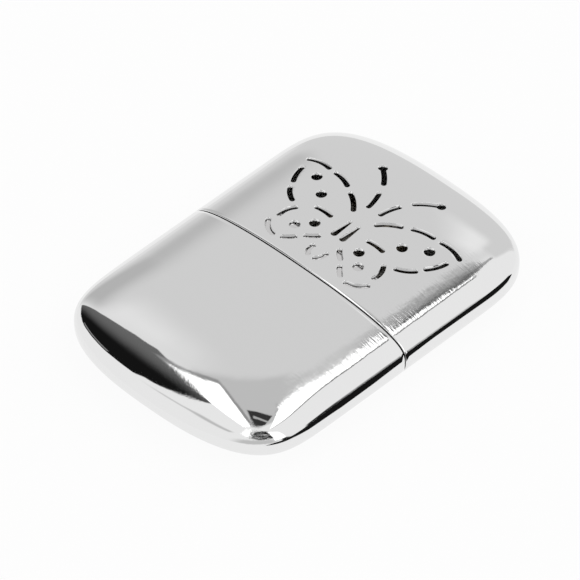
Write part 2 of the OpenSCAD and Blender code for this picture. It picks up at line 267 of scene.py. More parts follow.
# the section is |x / a| ^ SIDE_POWER + |d / b| ^ FACE_POWER = 1
sine = calc(shell, "SINE", angle)
raised = calc(shell, "POWER", calc(shell, "ABSOLUTE", sine), FACE_POWER)
open_share = calc(shell, "POWER", calc(shell, "SUBTRACT", 1.0, raised, use_clamp=True), 1 / SIDE_POWER)
side = calc(shell, "SIGN", calc(shell, "COSINE", angle))
reach_x = calc(shell, "MULTIPLY", calc(shell, "SUBTRACT", size["HalfWidth"], inset), wide)
reach_d = calc(shell, "MULTIPLY", calc(shell, "SUBTRACT", size["HalfDepth"], inset), deep)
x = calc(shell, "MULTIPLY", calc(shell, "MULTIPLY", open_share, side), reach_x)
d = calc(shell, "MULTIPLY", sine, reach_d)
back = calc(shell, "SUBTRACT", calc(shell, "SUBTRACT", size["HalfDepth"], size["Flat"]), inset)
pressed = calc(shell, "MINIMUM", d, back)
y = calc(shell, "MULTIPLY_ADD", along, size["Toward"], SEAM_Y)
z = calc(shell, "SUBTRACT", MID_HEIGHT, pressed)
lining = calc(shell, "LESS_THAN", row, size["InnerRows"])
marked = geo(
    shell, "StoreNamedAttribute", grid, {"Name": "lining", "Value": lining}, data_type="BOOLEAN",
    domain="FACE")
bent = geo(shell, "SetPosition", marked, {"Position": xyz(shell, x, y, z)})
closed = geo(shell, "MergeByDistance", bent, {"Distance": 2e-7})
smooth = geo(shell, "SetShadeSmooth", closed)
finished(shell, size, result, smooth)


def outward(piece):
    """Turns a closed mesh's faces outwards."""
    work = bmesh.new()
    work.from_mesh(piece.data)
    bmesh.ops.recalc_face_normals(work, faces=work.faces)
    if work.calc_volume(signed=True) < 0:
        bmesh.ops.reverse_faces(work, faces=work.faces)
    work.to_mesh(piece.data)
    work.free()
    return piece


# Bright nickel-chrome plate over buffed steel: a mirror with a faint orange
# peel. Buffing has left smudges and strokes across its right shoulder, finer
# than these in fact and drawn 0.4 mm apart so that they show, and its ends are
# a little pitted.
SHOULDER_X = 25.8 * MM
plate, tree = material("bright_chrome_plate")
spot = place_in(tree)
peel = noise(tree, spot, 190.0, 1.5)
strokes = noise(tree, spot, (240.0, 2300.0, 240.0), 3.0)
smudges = noise(tree, spot, (560.0, 300.0, 560.0), 2.0)
rubbed = calc(tree, "MULTIPLY_ADD", smudges, 1.0, strokes)
where = add(tree, "ShaderNodeSeparateXYZ", spot)
apart = calc(tree, "ABSOLUTE", calc(tree, "SUBTRACT", where, SHOULDER_X))
near_end = calc(tree, "ABSOLUTE", where.outputs["Y"])
long_run = ramp(tree, near_end, 27.0 * MM, 37.0 * MM, 1.0, 0.0, interpolation_type="SMOOTHSTEP")
beside = ramp(tree, apart, 1.0 * MM, 4.0 * MM, 1.0, 0.0, interpolation_type="SMOOTHSTEP")
shoulder = calc(tree, "MULTIPLY", beside, long_run)
pits = noise(tree, spot, 1500.0, 4.0, 0.65)
patches = ramp(tree, noise(tree, spot, 75.0, 1.0), 0.46, 0.62)
toward_end = calc(
    tree, "MULTIPLY", ramp(tree, near_end, 38.5 * MM, 40.5 * MM),
    ramp(tree, near_end, 43.5 * MM, 45.5 * MM, 1.0, 0.0))
corner = ramp(tree, where.outputs["X"], 23.0 * MM, 27.0 * MM, 0.0, 2.5)
pitted = calc(tree, "MULTIPLY", calc(tree, "MAXIMUM", patches, corner), toward_end)
haze = ramp(tree, shoulder, 0.0, 1.0, 0.03, 0.09)
waved = bumped(tree, peel, 0.03, 0.0004)
pocked = bumped(tree, calc(tree, "MULTIPLY", pits, pitted), 0.1, 0.0001, waved)
buffed = bumped(tree, calc(tree, "MULTIPLY", rubbed, shoulder), 0.17, 0.0002, pocked)
principled(tree, linear("#e9e9e9"), haze, buffed)

# Bare drawn steel inside, which the plating bath barely reaches: dull, and
# darkened by the burner's fumes.
bare, tree = material("bare_drawn_steel")
spot = place_in(tree)
cloud = noise(tree, spot, 130.0, 4.0)
tone = mixed(tree, ramp(tree, cloud, 0.35, 0.7), "#a2a2a0", "#c2c2c0")
principled(tree, tone, 0.6, metallic=0.2)


def case_half(name, length, wall, rim, toward, wide, deep):
    """One half of the case, towards +Y or -Y, with its rim and how its width and depth roll off."""
    rolls = {"Width" + part: v for part, v in zip(("Start", "Rise", "Fall"), wide)}
    rolls.update({"Depth" + part: v for part, v in zip(("Start", "Rise", "Fall"), deep)})
    return outward(made_by(
        shell, name, HalfWidth=CASE_HALF_WIDTH, HalfDepth=CASE_HALF_DEPTH, Length=length, Wall=wall,
        Rim=rim, Edge=RIM_EDGE, Flat=BACK_FLAT, Toward=toward, Columns=360, InnerRows=36, EdgeRows=4,
        OuterRows=90, Finish=plate, Inside=bare, **rolls))


tank = case_half("tank_body", TANK_LENGTH, TANK_WALL, 0.0, -1.0, TANK_WIDTH_ROLL, TANK_DEPTH_ROLL)
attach(tank, "tank")
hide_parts("tank_shell")


# ---- Cotton filling --------------------------------------------------------
# Carded cotton fills the tank and soaks up the fuel. It is teased out and
# packed in by hand before the collar goes on, so it takes the tank's shape.


def copied(node, name):
    """A piece that starts as a copy of a CAD node's mesh, its triangles merged and its flat faces joined."""
    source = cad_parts[node].data
    mesh = bpy.data.meshes.new(name)
    mesh.from_pydata([v.co for v in source.vertices], [], [p.vertices for p in source.polygons])
    work = bmesh.new()
    work.from_mesh(mesh)
    bmesh.ops.remove_doubles(work, verts=work.verts, dist=2e-6)
    bmesh.ops.dissolve_limit(work, angle_limit=math.radians(0.5), verts=work.verts, edges=work.edges)
    work.to_mesh(mesh)
    work.free()
    return put(name, mesh)


def settled(piece):
    """Makes a piece's modifiers part of its mesh."""
    seen = bpy.context.evaluated_depsgraph_get()
    mesh = bpy.data.meshes.new_from_object(piece.evaluated_get(seen), depsgraph=seen)
    piece.modifiers.clear()
    piece.data = mesh
    mesh.name = piece.name
    return piece


# Loose fibre has no skin: its surface sinks in and comes out in lumps.
teased, given, result = plan(
    "teased_fibre", "Geometry", Pad="Geometry", Lump="Float", Sink="Float", Tuft="Float", Pull="Float",
    Finish="Material")
spot = geo(teased, "InputPosition")
lumps = noise(teased, spot, calc(teased, "DIVIDE", 1.0, given["Lump"]), 2.0)
tufts = noise(teased, spot, calc(teased, "DIVIDE", 1.0, given["Tuft"]), 4.0, distortion=1.2)
sunk = calc(teased, "MULTIPLY", lumps, given["Sink"])
pulled = calc(teased, "MULTIPLY_ADD", tufts, given["Pull"], sunk)
inward = calc(teased, "MULTIPLY", pulled, -1.0)
shift = vector(teased, "SCALE", geo(teased, "InputNormal"), {"Scale": inward})
moved = geo(teased, "SetPosition", given["Pad"], {"Offset": shift})
smooth = geo(teased, "SetShadeSmooth", moved)
finished(teased, given, result, smooth)


def wadding(node, name, grain, rounds, **sizes):
    """A pad of loose fibre in the place of a CAD soft solid: remeshed at its grain, smoothed, and teased."""
    block = copied(node, name + "_block")
    remade = block.modifiers.new("grain", "REMESH")
    remade.mode, remade.voxel_size = "VOXEL", grain
    softer = block.modifiers.new("soft", "SMOOTH")
    softer.factor, softer.iterations = 0.5, rounds
    settled(block)
    pad = made_by(teased, name, block.data, **sizes)
    bpy.data.objects.remove(block)
    return outward(pad)


# Carded cotton: off-white staple fibres in a loose web, which read as soft
# tufts a millimetre or two across with a sheen at their edges.
cotton_web, tree = material("carded_cotton")
spot = place_in(tree)
web = noise(tree, spot, 650.0, 8.0, 0.7, 1.6)
tone = mixed(tree, ramp(tree, web, 0.35, 0.65), "#d9d3c4", "#f4f1e9")
nap = bumped(tree, web, 0.7, 0.0005)
principled(tree, tone, 0.95, nap, metallic=0.0, sheen=0.35)

cotton = wadding(
    "cotton_wadding", "cotton_filling", 0.7 * MM, 4,
    Lump=9.0 * MM, Sink=0.9 * MM, Tuft=2.2 * MM, Pull=0.5 * MM, Finish=cotton_web)
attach(cotton, "tank")
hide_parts("cotton_wadding")


# ---- Collar and shoulder -----------------------------------------------------
# The collar is a band of sheet with the case's section, pressed halfway into
# the tank, and the cap slides over the half that stands out. The shoulder plate
# is soldered on its top and closes the tank round the filler neck.

COLLAR_STEPS = 240
low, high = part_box("cap_collar")
COLLAR_BOTTOM, COLLAR_TOP = low.y - SEAM_Y, high.y - SEAM_Y
COLLAR_INSET = CASE_HALF_WIDTH - high.x
COLLAR_WALL = 0.5 * MM
SHOULDER_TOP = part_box("tank_shoulder")[1].y - SEAM_Y
NECK_HALF_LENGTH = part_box("filler_neck")[1].x
NECK_HALF_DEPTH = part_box("filler_neck")[1].z - MID_HEIGHT


def case_ring(inset, height):
    """A ring of points on the case's section, drawn in by inset, at a height above the seam."""
    ring = []
    for k in range(COLLAR_STEPS):
        sine, cosine = math.sin(2 * math.pi * k / COLLAR_STEPS), math.cos(2 * math.pi * k / COLLAR_STEPS)
        share = max(0.0, 1 - abs(sine) ** FACE_POWER) ** (1 / SIDE_POWER)
        x = (CASE_HALF_WIDTH - inset) * share * math.copysign(1, cosine)
        depth = min((CASE_HALF_DEPTH - inset) * sine, CASE_HALF_DEPTH - BACK_FLAT - inset)
        ring.append((x, height + SEAM_Y, MID_HEIGHT - depth))
    return ring


def oval_ring(half_length, half_depth, height):
    """A ring of points on a flat oval with round ends, at a height above the seam."""
    ring, flat = [], half_length - half_depth
    for k in range(COLLAR_STEPS):
        sine, cosine = math.sin(2 * math.pi * k / COLLAR_STEPS), math.cos(2 * math.pi * k / COLLAR_STEPS)
        if half_depth * abs(cosine) < flat * abs(sine):
            reach = half_depth / abs(sine)
        else:
            reach = flat * abs(cosine) + math.sqrt(half_depth**2 - (flat * sine) ** 2)
        ring.append((reach * cosine, height + SEAM_Y, MID_HEIGHT - reach * sine))
    return ring


def banded(name, rings, finish):
    """A closed piece of sheet from the rings of points met in turn on the way once round its wall."""
    steps = len(rings[0])
    mesh = bpy.data.meshes.new(name)
    starts = [r * steps for r in range(len(rings))]
    mesh.from_pydata([p for ring in rings for p in ring], [], [
        (a + k, a + (k + 1) % steps, b + (k + 1) % steps, b + k)
        for a, b in zip(starts, starts[1:] + starts[:1]) for k in range(steps)])
    work = bmesh.new()
    work.from_mesh(mesh)
    bmesh.ops.remove_doubles(work, verts=work.verts, dist=1e-7)
    bmesh.ops.delete(work, geom=[e for e in work.edges if not e.link_faces], context="EDGES")
    work.to_mesh(mesh)
    work.free()
    mesh.shade_smooth()
    mesh.materials.append(finish)
    return outward(put(name, mesh))


# The same bright plate as the case, but rubbed along its length by the cap's rim, which leaves hairlines
# 0.05 mm apart, drawn 0.25 mm apart so they show. A line of painted shade darkens it under the seam.
rubbed, tree = material("rubbed_chrome_plate")
spot = place_in(tree)
hairs = noise(tree, spot, (4000.0, 90.0, 4000.0), 3.0)
worn = noise(tree, spot, 160.0, 3.0)
haze = ramp(tree, worn, 0.3, 0.75, 0.06, 0.19)
scored = bumped(tree, hairs, 0.12, 0.0002)
# soot and pocket dirt gather in the seam, in a line under its gap
# painted shade: the collar darkens almost to black in a line under the seam's gap, where shade falls between
# the collar and the cap
SEAM_SHADE_Y = SEAM_Y + 0.45 * MM
height = add(tree, "ShaderNodeSeparateXYZ", spot).outputs["Y"]
off_seam = calc(tree, "ABSOLUTE", calc(tree, "SUBTRACT", height, SEAM_SHADE_Y))
soot_and_seam_shade = ramp(tree, off_seam, 0.7 * MM, 1.1 * MM, 1.0, 0.0, interpolation_type="SMOOTHSTEP")
tone = mixed(tree, soot_and_seam_shade, "#dedddd", "#242220")
principled(tree, tone, haze, scored)

# the top of the collar takes a small bend, on which the shoulder's edge sits
BEND = 0.2 * MM
angles = (0.0, 0.3, 0.6, 0.9, 1.2, math.pi / 2)
quarter = [(BEND * (1 - math.cos(a)), BEND * (1 - math.sin(a))) for a in angles]
held = [(0.0, 3 * BEND), *quarter]
collar = banded("collar_band", [
    *[case_ring(COLLAR_INSET + i, COLLAR_TOP - h) for i, h in held],
    *[case_ring(COLLAR_INSET + COLLAR_WALL - i, COLLAR_TOP - h) for i, h in reversed(held)],
    *[case_ring(COLLAR_INSET + COLLAR_WALL - i, COLLAR_BOTTOM + h) for i, h in held],
    *[case_ring(COLLAR_INSET + i, COLLAR_BOTTOM + h) for i, h in reversed(held)],
], rubbed)
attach(collar, "tank")
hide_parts("cap_collar")

shoulder = banded("shoulder_plate", [
    oval_ring(NECK_HALF_LENGTH, NECK_HALF_DEPTH, SHOULDER_TOP),
    oval_ring(NECK_HALF_LENGTH + BEND, NECK_HALF_DEPTH + BEND, SHOULDER_TOP),
    *[case_ring(COLLAR_INSET + h, SHOULDER_TOP - i) for i, h in held],
    *[case_ring(COLLAR_INSET + i / 3, COLLAR_TOP + h / 3) for i, h in reversed(quarter)],
    oval_ring(NECK_HALF_LENGTH, NECK_HALF_DEPTH, COLLAR_TOP),
], rubbed)
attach(shoulder, "tank")
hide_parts("tank_shoulder")


# ---- Filler neck and wick ----------------------------------------------------
# The neck is an oval tube soldered into the shoulder, through which the tank is
# filled. A pierced plate across it holds down a felt wick, which draws the fuel
# up out of the cotton.


def sheet_metal(node, name, edge, finish):
    """A piece of cut and bent sheet in the place of a CAD node, with its cut edges deburred round."""
    piece = copied(node, name)
    piece.data.shade_smooth()
    piece.data.materials.append(finish)
    deburred = piece.modifiers.new("deburred", "BEVEL")
    deburred.width, deburred.segments = edge, 2
    deburred.limit_method, deburred.angle_limit = "ANGLE", math.radians(35)
    evened = piece.modifiers.new("evened", "WEIGHTED_NORMAL")
    evened.keep_sharp = False
    return settled(piece)


# Drawn and barrel-nickelled steel: satin, with draw lines up the tube every
# 0.1 mm or so, drawn 0.3 mm apart so that they show.
nickelled, tree = material("barrel_nickelled_steel")
spot = place_in(tree)
drawn = noise(tree, spot, (3300.0, 150.0, 3300.0), 3.0)
cloud = noise(tree, spot, 240.0, 3.0)
tone = mixed(tree, cloud, "#aeaba4", "#cfccc5")
haze = ramp(tree, cloud, 0.3, 0.7, 0.2, 0.32)
lined = bumped(tree, drawn, 0.2, 0.0002)
principled(tree, tone, haze, lined)

for node, name, edge in (
    ("filler_neck", "neck_tube", 0.15 * MM), ("wick_retainer", "wick_plate", 0.08 * MM)):
    piece = sheet_metal(node, name, edge, nickelled)
    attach(piece, "tank")
    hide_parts(node)

# Pressed wool felt: a dense cream mat of short hairs crossing every way, with
# a few darker ones, drawn 0.5 mm across so that they show.
wool, tree = material("pressed_wool_felt")
spot = place_in(tree)
hairs = noise(tree, spot, 2000.0, 6.0, 0.65, 2.0)
tone = mixed(tree, ramp(tree, hairs, 0.36, 0.6), "#b9ad93", "#ebe5d6")
nap = bumped(tree, hairs, 0.6, 0.0002)
principled(tree, tone, 0.92, nap, metallic=0.0, sheen=0.25)

wick = wadding(
    "wick_felt", "felt_wick", 0.3 * MM, 3,
    Lump=3.0 * MM, Sink=0.12 * MM, Tuft=0.9 * MM, Pull=0.12 * MM, Finish=wool)
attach(wick, "tank")
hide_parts("wick_felt")


# ---- Burner housing ----------------------------------------------------------
# The burner is folded from stainless strip. An oval skirt with a slotted deck
# slips over the neck, and a tall strip with windows is bent over the catalyst,
# with its two tabs riveted on the skirt and an end plate at each side.

# Cold-rolled stainless strip: satin with a fine grain across the case, straw
# and then blue-grey where the catalyst has heated it. The grain is finer than
# 0.05 mm, and drawn 0.3 mm apart so that it shows.
strip, tree = material("rolled_stainless_strip")
spot = place_in(tree)
grain = noise(tree, spot, (160.0, 3300.0, 3300.0), 3.0)
patches = noise(tree, spot, 260.0, 3.0)
height = add(tree, "ShaderNodeSeparateXYZ", spot).outputs["Y"]
warmed = calc(tree, "ADD", calc(tree, "MULTIPLY", patches, 8.0 * MM), height)
straw = ramp(tree, warmed, 20.0 * MM, 26.0 * MM, 0.0, 0.8)
blued = ramp(tree, warmed, 27.5 * MM, 32.5 * MM, 0.0, 0.75)
cold = mixed(tree, grain, "#a19e99", "#c2bfb9")
tinted = mixed(tree, straw, cold, "#a99d84")
tone = mixed(tree, blued, tinted, "#6f7484")
haze = ramp(tree, patches, 0.3, 0.7, 0.24, 0.38)
lined = bumped(tree, grain, 0.22, 0.0002)
principled(tree, tone, haze, lined)

for node, name, edge in (
    ("burner_skirt", "skirt_band", 0.1 * MM),
    ("burner_deck", "slotted_deck", 0.08 * MM),
    ("burner_frame", "window_frame", 0.08 * MM),
    ("burner_end_left", "left_end_plate", 0.08 * MM),
    ("burner_end_right", "right_end_plate", 0.08 * MM),
):
    piece = sheet_metal(node, name, edge, strip)
    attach(piece, "burner")
    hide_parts(node)


# ---- Rivets ----------------------------------------------------------------
# Four like steel rivets hold the frame's tabs on the skirt, two on each face.
# Their heads are domed, and their shanks are cut flush inside the skirt.


def carry(mesh, label, values, size=1):
    """Gives a mesh's points a number or a vector each."""
    kind, key = ("FLOAT", "value") if size == 1 else ("FLOAT_VECTOR", "vector")
    mesh.attributes.new(label, kind, "POINT").data.foreach_set(key, values)


low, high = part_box("burner_rivets")
RIVET_HEAD = 1.9 * MM
RIVET_HEAD_HEIGHT = 0.35 * MM
RIVET_SHANK = 1.0 * MM
SHANK_LENGTH = 1.0 * MM
RIVET_SIDES = 28
TAB_FACE = high.z - RIVET_HEAD_HEIGHT - MID_HEIGHT
angles = (0.0, 0.15, 0.4, 0.7, 1.0, 1.3)
dome = [(RIVET_HEAD / 2 * math.cos(a), RIVET_HEAD_HEIGHT * math.sin(a)) for a in angles]
side_on = [
    (0.0, RIVET_HEAD_HEIGHT), *reversed(dome), (RIVET_SHANK / 2, 0.0), (RIVET_SHANK / 2, -SHANK_LENGTH),
    (0.0, -SHANK_LENGTH)]

# Cold-headed steel, nickelled: a dome with the header's faint dimples.
headed, tree = material("cold_headed_rivet_steel")
spot = place_in(tree)
dimples = noise(tree, spot, 2500.0, 2.0)
tone = mixed(tree, dimples, "#b5b0a5", "#d6d3cd")
beaten = bumped(tree, dimples, 0.2, 0.0001)
principled(tree, tone, 0.2, beaten)

round_it = [2 * math.pi * k / RIVET_SIDES for k in range(RIVET_SIDES)]
rings = [[(r * math.cos(a), r * math.sin(a), h) for a in round_it] for r, h in side_on]
rivet = banded("rivet", rings, headed)
rivet_marks = bpy.data.meshes.new("rivet_marks")
seats = [(x, face) for x in (low.x + RIVET_HEAD / 2, high.x - RIVET_HEAD / 2) for face in (-1, 1)]
row_y = (low.y + high.y) / 2
rivet_marks.from_pydata([(x, row_y, MID_HEIGHT + face * TAB_FACE) for x, face in seats], [], [])
carry(rivet_marks, "face", [v for _, face in seats for v in (0, 0, face)], 3)

riveted, given, result = plan("set_rivets", "Geometry", Marks="Geometry", Rivet="Object", Finish="Material")
one = geo(riveted, "ObjectInfo", given["Rivet"]).outputs["Geometry"]
facing = geo(riveted, "InputNamedAttribute", "face", data_type="FLOAT_VECTOR")
turned = add(riveted, "FunctionNodeAlignRotationToVector", {"Vector": facing}, axis="Z")
driven = geo(riveted, "InstanceOnPoints", given["Marks"], {"Instance": one, "Rotation": turned})
placed = geo(riveted, "RealizeInstances", driven)
finished(riveted, given, result, placed)

rivets = made_by(riveted, "tab_rivets", rivet_marks, Rivet=rivet, Finish=headed)
bpy.data.objects.remove(rivet)
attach(rivets, "burner")
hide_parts("burner_rivets")


# ---- Catalyst --------------------------------------------------------------
# A mat of glass fibre that carries the platinum is folded over a pierced strip
# of nickel sheet, which keeps a channel open for the vapour from the deck.

# Pierced nickel sheet that runs hot: dull grey-brown oxide over its punched
# skin, in clouds a few millimetres across.
oxidised, tree = material("oxidised_nickel_sheet")
spot = place_in(tree)
cloud = noise(tree, spot, 420.0, 4.0)
tone = mixed(tree, ramp(tree, cloud, 0.35, 0.65), "#6a645d", "#98938b")
haze = ramp(tree, cloud, 0.3, 0.7, 0.5, 0.32)
principled(tree, tone, haze)

core = sheet_metal("catalyst_core", "pierced_core", 0.05 * MM, oxidised)
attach(core, "burner")
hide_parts("catalyst_core")

# Glass fibre wadding coated with platinum black: grey threads in a tangled
# nap, sootier in patches. The fibres are far finer than the 0.4 mm drawn here.
coated, tree = material("platinised_glass_fibre")
spot = place_in(tree)
threads = noise(tree, spot, (900.0, 2400.0, 2400.0), 6.0, 0.7, 2.2)
soot_and_seam_shade = noise(tree, spot, 330.0, 2.0)
pale = mixed(tree, ramp(tree, threads, 0.35, 0.62), "#4a4743", "#a3a099")
tone = mixed(tree, ramp(tree, soot_and_seam_shade, 0.4, 0.7, 0.0, 0.6), pale, "#3c3936")
nap = bumped(tree, threads, 0.8, 0.0003)
principled(tree, tone, 0.9, nap, metallic=0.0, sheen=0.2)

mat = wadding(
    "catalyst_mat", "catalyst_pad", 0.25 * MM, 4,
    Lump=3.5 * MM, Sink=0.22 * MM, Tuft=1.1 * MM, Pull=0.2 * MM, Finish=coated)
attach(mat, "burner")
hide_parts("catalyst_mat")


# ---- Gauze -----------------------------------------------------------------
# A piece of plain-woven wire gauze lies behind the windows of each face, and
# keeps the mat in. It is rolled flat after weaving, and cut to the frame.

GAUZE_PITCH = 0.62 * MM
GAUZE_WIRE = 0.24 * MM
GAUZE_SWAY = 0.06 * MM
GAUZE_FLATNESS = 0.48
GAUZE_ACROSS, GAUZE_UP = 33, 11

# Wires side by side along X, each passing over and under those that cross it.
laid, given, result = plan(
    "laid_wires", "Geometry", Wires="Int", Crossed="Int", Pitch="Float", Wire="Float", Flatness="Float",
    Sway="Float", Turn="Vector")
last = calc(laid, "SUBTRACT", given["Wires"], 1.0)
first_y = calc(laid, "MULTIPLY", calc(laid, "MULTIPLY", last, -0.5), given["Pitch"])
starts = geo(laid, "MeshLine", {
    "Count": given["Wires"], "Start Location": xyz(laid, 0.0, first_y),
    "Offset": xyz(laid, 0.0, given["Pitch"])})
numbered = geo(
    laid, "StoreNamedAttribute", starts, {"Name": "number", "Value": geo(laid, "InputIndex")},
    data_type="FLOAT", domain="POINT")
reach = calc(laid, "MULTIPLY", calc(laid, "MULTIPLY", given["Crossed"], 0.5), given["Pitch"])
straight = geo(laid, "CurvePrimitiveLine", {
    "Start": xyz(laid, calc(laid, "MULTIPLY", reach, -1.0)), "End": xyz(laid, reach)})
bends = calc(laid, "MULTIPLY_ADD", given["Crossed"], 4.0, 1.0)
stepped = geo(laid, "ResampleCurve", straight, {"Count": bends})
side_by_side = geo(laid, "RealizeInstances", geo(laid, "InstanceOnPoints", numbered, {"Instance": stepped}))
along = calc(laid, "DIVIDE", add(laid, "ShaderNodeSeparateXYZ", geo(laid, "InputPosition")), given["Pitch"])
from_first = calc(laid, "MULTIPLY_ADD", calc(laid, "SUBTRACT", given["Crossed"], 1.0), 0.5, along)
met = calc(laid, "ADD", from_first, geo(laid, "InputNamedAttribute", "number"))
wave = calc(laid, "COSINE", calc(laid, "MULTIPLY", met, math.pi))
swayed = geo(laid, "SetPosition", side_by_side, {
    "Offset": xyz(laid, 0.0, 0.0, calc(laid, "MULTIPLY", wave, given["Sway"]))})
upright = geo(laid, "SetCurveNormal", swayed, mode="Z_UP")
disc = geo(laid, "CurvePrimitiveCircle", {
    "Resolution": 8, "Radius": calc(laid, "MULTIPLY", given["Wire"], 0.5)})
flattened = geo(laid, "Transform", disc, {"Scale": xyz(laid, 1.0, given["Flatness"], 1.0)})
wires = geo(laid, "CurveToMesh", upright, flattened, {"Fill Caps": True})
laid.links.new(geo(laid, "Transform", wires, {"Rotation": given["Turn"]}).outputs[0], result[0])

woven, given, result = plan(
    "woven_gauze", "Geometry", Across="Int", Up="Int", Pitch="Float", Wire="Float", Flatness="Float",
    Sway="Float", Middle="Vector", Finish="Material")
shared = {label: given[label] for label in ("Pitch", "Wire", "Flatness", "Sway")}
weft = geo(woven, "Group", {"Wires": given["Up"], "Crossed": given["Across"], **shared}, node_tree=laid)
under = calc(woven, "MULTIPLY", given["Sway"], -1.0)
warp = geo(woven, "Group", {
    **shared, "Wires": given["Across"], "Crossed": given["Up"], "Sway": under,
    "Turn": (0.0, 0.0, math.pi / 2)}, node_tree=laid)
both = geo(woven, "JoinGeometry")
woven.links.new(weft.outputs[0], both.inputs[0])
woven.links.new(warp.outputs[0], both.inputs[0])
laid_down = geo(woven, "Transform", both, {"Translation": given["Middle"]})
smooth = geo(woven, "SetShadeSmooth", geo(woven, "RealizeInstances", laid_down))
finished(woven, given, result, smooth)

# Stainless wire that glows while the burner runs: brown-grey scale, paler in patches.
scaled, tree = material("scaled_stainless_wire")
spot = place_in(tree)
scale = noise(tree, spot, 500.0, 3.0)
tone = mixed(tree, ramp(tree, scale, 0.35, 0.65), "#7d7366", "#aeaaa3")
haze = ramp(tree, scale, 0.3, 0.7, 0.45, 0.28)
principled(tree, tone, haze)

for node, name in (("gauze_front", "front_gauze"), ("gauze_rear", "rear_gauze")):
    low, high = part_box(node)
    gauze = made_by(
        woven, name, Across=GAUZE_ACROSS, Up=GAUZE_UP, Pitch=GAUZE_PITCH, Wire=GAUZE_WIRE,
        Flatness=GAUZE_FLATNESS, Sway=GAUZE_SWAY, Middle=(low + high) / 2, Finish=scaled)
    outward(gauze)
    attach(gauze, "burner")
    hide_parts(node)


# ---- Cap -------------------------------------------------------------------
# The cap is the other half of the case, drawn from thinner sheet, and slips
# over the collar down to the seam. A die pierces the butterfly through its
# front, and the plating is put on afterwards, so that the vents' edges shine.

low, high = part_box("cap_shell")
CAP_LENGTH = high.y - SEAM_Y
CAP_RIM = low.y - SEAM_Y
CAP_WALL = 0.45 * MM
WAIST = 15.5 * MM
SLOT_R = 0.73 * MM
SPOT_R = 1.4 * MM
KNOB_R = 1.25 * MM
CAP_WIDTH_ROLL = (0.42, 4.4, 2.4)
CAP_DEPTH_ROLL = (0.55, 2.0, 2.1)
# The right half, in mm from the waist: each slot's two ends, and its bow to the
# left of the way from the first to the last. A cut adds its half width at each.
WING_SLOTS = [
    (3.6, 6.0, 7.9, 9.5, 0.3), (10.3, 10.9, 15.2, 12.3, 0.3), (17.6, 12.6, 23.5, 12.1, 0.5),
    (22.5, 8.9, 20.7, 4.2, 0.3), (19.6, 2.0, 16.2, -0.8, 0.3), (13.7, -2.2, 14.8, -6.4, 0.5),
    (15.5, -9.2, 11.4, -12.0, 0.6), (9.0, -11.3, 7.0, -9.4, 0.1), (5.4, -7.5, 3.3, -5.6, 0.1),
    (6.0, 1.0, 10.2, 1.0, 0.2), (1.9, 9.2, 3.2, 13.9, 0.2), (4.8, 17.1, 8.8, 21.0, 0.2),
    (2.0, -8.6, 1.1, -11.3, 0.4)]
WING_SPOTS = [(17.6, 8.6), (12.6, 4.9), (9.9, -6.5), (6.9, -3.1)]
cuts = [(*slot, SLOT_R, SLOT_R) for slot in WING_SLOTS]
cuts += [(px, py, px, py + 0.001, 0, SPOT_R, SPOT_R) for px, py in WING_SPOTS]
# the vent of the body widens towards its foot
cuts += [(1.3, 2.7, 1.35, -2.5, 0, 0.5 * MM, 0.92 * MM)]
knobs = [(9.1, 21.3, 9.1, 21.301, 0, KNOB_R, KNOB_R)]


def marked_out(name, half):
    """A mesh of points that carry the vents of the right half and of its mirror image."""
    both = half + [(-c[0], c[1], -c[2], c[3], -c[4], c[5], c[6]) for c in half]
    marks = bpy.data.meshes.new(name)
    marks.from_pydata([(c[0] * MM, c[1] * MM + WAIST + SEAM_Y, 0) for c in both], [], [])
    carry(marks, "first_end", [v for c in both for v in (c[0] * MM, c[1] * MM + WAIST + SEAM_Y, 0)], 3)
    carry(marks, "way", [v for c in both for v in ((c[2] - c[0]) * MM, (c[3] - c[1]) * MM, 0)], 3)
    carry(marks, "bow", [c[4] * MM for c in both])
    carry(marks, "first_r", [c[5] for c in both])
    carry(marks, "last_r", [c[6] for c in both])
    return marks


# One punch: a block with round ends. Each row has its height over the skin, and
# how far it stands out from the vent's half width. It tapers towards its foot,
# and so leaves a rounded edge and a bevel in the skin's thickness.
EDGE_R = 0.1 * MM
EDGE_STEPS = 5
BEVEL = math.radians(25)
BEVEL_LEVELS = (-0.3 * MM, -0.56 * MM)
PUNCH_FOOT = -1.5 * MM
END_STEPS = 10
SIDE_STEPS = 6
turns = [k / EDGE_STEPS * (math.pi / 2 - BEVEL) for k in range(EDGE_STEPS + 1)]
rolled_edge = [(-EDGE_R * (1 - math.cos(a)), -EDGE_R * math.sin(a)) for a in turns]
edge_level, edge_out = rolled_edge[-1]
rows = [(0.6 * MM, 0.22 * MM), (0.03 * MM, 0.14 * MM), *rolled_edge]
rows += [(level, edge_out + (level - edge_level) * math.tan(BEVEL)) for level in BEVEL_LEVELS]
rows += [(PUNCH_FOOT, rows[-1][1])]
outline = [(0.0, math.pi / 2 + math.pi * k / END_STEPS) for k in range(END_STEPS + 1)]
outline += [(k / SIDE_STEPS, -math.pi / 2) for k in range(1, SIDE_STEPS)]
outline += [(1.0, -math.pi / 2 + math.pi * k / END_STEPS) for k in range(END_STEPS + 1)]
outline += [(1 - k / SIDE_STEPS, math.pi / 2) for k in range(1, SIDE_STEPS)]
count = len(outline)
corners = [(math.cos(a), math.sin(a), level) for level, _ in rows for _, a in outline]
walls = [
    (r * count + k, (r + 1) * count + k, (r + 1) * count + (k + 1) % count, r * count + (k + 1) % count)
    for r in range(len(rows) - 1) for k in range(count)]
